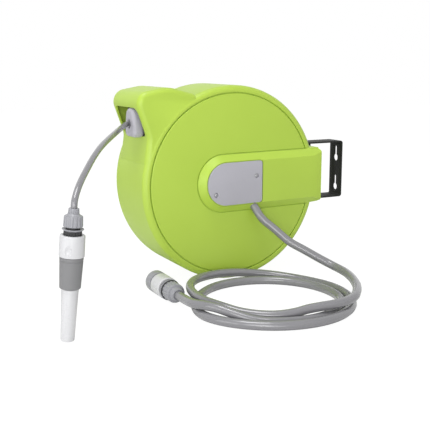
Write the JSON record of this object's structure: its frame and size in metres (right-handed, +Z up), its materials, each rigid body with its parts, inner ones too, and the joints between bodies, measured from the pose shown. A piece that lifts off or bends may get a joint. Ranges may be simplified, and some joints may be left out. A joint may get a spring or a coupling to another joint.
{
  "type": "retractable hose reel",
  "caption": "Wall-mounted retractable hose reel: a round plastic casing swivelling on a steel wall bracket, with a spring-wound hose, a nozzle and a supply hose with a tap connector.",
  "frame": {"origin": "middle of the back face of the wall bracket, which lies on the wall", "axes": "+X out of the reel into the wall, +Z up, -Y towards the side with the arm and the grey plate"},
  "size_m": [0.6099, 0.4131, 0.3306],
  "materials": {
    "green_plastic": "moulded, satin",
    "grey_plastic": "moulded, satin",
    "dark_grey_plastic": "moulded, satin",
    "white_plastic": "moulded, gloss",
    "black_plastic": "moulded, satin",
    "black_steel": "powder coat",
    "steel": "zinc plated",
    "brass": "machined",
    "hose_grey": "extruded, satin",
    "seal_rubber": "moulded"
  },
  "bodies": {
    "bracket": {"wall_bracket": "black_steel", "swivel_pin": "steel", "pin_clip": "steel", "washer_upper": "white_plastic", "washer_lower": "white_plastic"},
    "casing": {"drum_housing": "green_plastic", "face_cover": "green_plastic", "rear_cover": "green_plastic", "rear_screw_1": "steel", "rear_screw_2": "steel", "rear_screw_3": "steel", "rear_screw_4": "steel", "arm_cover": "green_plastic", "cover_plate": "grey_plastic", "plate_screw_1": "steel", "plate_screw_2": "steel", "exit_grommet": "seal_rubber", "hose_clamp": "steel", "swivel_knuckle": "black_plastic", "knuckle_bolt_1": "steel", "knuckle_bolt_2": "steel", "pin_bush": "white_plastic", "axle": "brass", "inlet_elbow": "black_plastic", "guide_frame": "black_plastic", "roller_pin_upper": "steel", "roller_pin_lower": "steel", "pawl_pin": "steel", "pawl_spring": "steel", "spring_arbor": "steel", "hose_run": "hose_grey", "hose_stopper": "grey_plastic", "outlet_hose": "hose_grey", "nozzle_nut": "grey_plastic", "nozzle_adaptor": "black_plastic", "nozzle_body": "dark_grey_plastic", "supply_lead": "hose_grey", "supply_coil": "hose_grey", "tap_nut": "grey_plastic", "tap_core": "black_plastic", "tap_seal": "seal_rubber", "tap_end_ring": "grey_plastic"},
    "spool": {"spool_core": "black_plastic", "spool_flange_front": "black_plastic", "spool_flange_rear": "black_plastic", "hub_bush_front": "white_plastic", "hub_bush_rear": "white_plastic", "wound_hose": "hose_grey", "hose_union": "brass", "ratchet_ring": "grey_plastic", "spring_cup": "black_plastic", "power_spring": "steel"},
    "roller_upper": {"roller_upper": "grey_plastic"},
    "roller_lower": {"roller_lower": "grey_plastic"},
    "pawl": {"pawl": "steel"},
    "nozzle_collar": {"nozzle_collar": "white_plastic"},
    "nozzle_slide": {"nozzle_seal": "seal_rubber"},
    "nozzle_tip": {"nozzle_tip": "white_plastic"},
    "tap_collar": {"tap_collar": "white_plastic"}
  },
  "joints": [
    {"name": "casing_swivel", "type": "hinge", "parent": "bracket", "child": "casing", "pos_m": [-0.074, 0, 0], "axis": [0, 0, 1], "range_deg": [-80, 80]},
    {"name": "spool_turn", "type": "hinge", "parent": "casing", "child": "spool", "pos_m": [-0.252, 0, -0.006], "axis": [0, -1, 0], "range_deg": [0, 5400], "stiffness_Nm_per_rad": 0.02, "springref_deg": -4297.18},
    {"name": "roller_upper_spin", "type": "hinge", "parent": "casing", "child": "roller_upper", "pos_m": [-0.387, 0, 0.1113], "axis": [0, 1, 0], "continuous": true},
    {"name": "roller_lower_spin", "type": "hinge", "parent": "casing", "child": "roller_lower", "pos_m": [-0.387, 0, 0.0867], "axis": [0, 1, 0], "continuous": true},
    {"name": "pawl_swing", "type": "hinge", "parent": "casing", "child": "pawl", "pos_m": [-0.222, 0, 0.066], "axis": [0, -1, 0], "range_deg": [0, 8], "stiffness_Nm_per_rad": 0.05, "springref_deg": -5.73},
    {"name": "nozzle_collar_slide", "type": "slide", "parent": "casing", "child": "nozzle_collar", "axis": [0.0728, -0.0379, 0.9966], "range_m": [0, 0.004], "stiffness_N_per_m": 300, "springref_m": -0.003},
    {"name": "nozzle_tip_travel", "type": "slide", "parent": "casing", "child": "nozzle_slide", "axis": [-0.0728, 0.0379, -0.9966], "range_m": [0, 0.004]},
    {"name": "nozzle_twist", "type": "hinge", "parent": "nozzle_slide", "child": "nozzle_tip", "pos_m": [-0.601, -0.225, -0.1708], "axis": [-0.0728, 0.0379, -0.9966], "range_deg": [0, 360]},
    {"name": "tap_collar_slide", "type": "slide", "parent": "casing", "child": "tap_collar", "axis": [-0.02, -0.9998, 0], "range_m": [0, 0.004], "stiffness_N_per_m": 300, "springref_m": -0.003}
  ],
  "couplings": [
    {"joint": "nozzle_tip_travel", "follows": "nozzle_twist", "m_per_rad": 0.00063662}
  ]
}
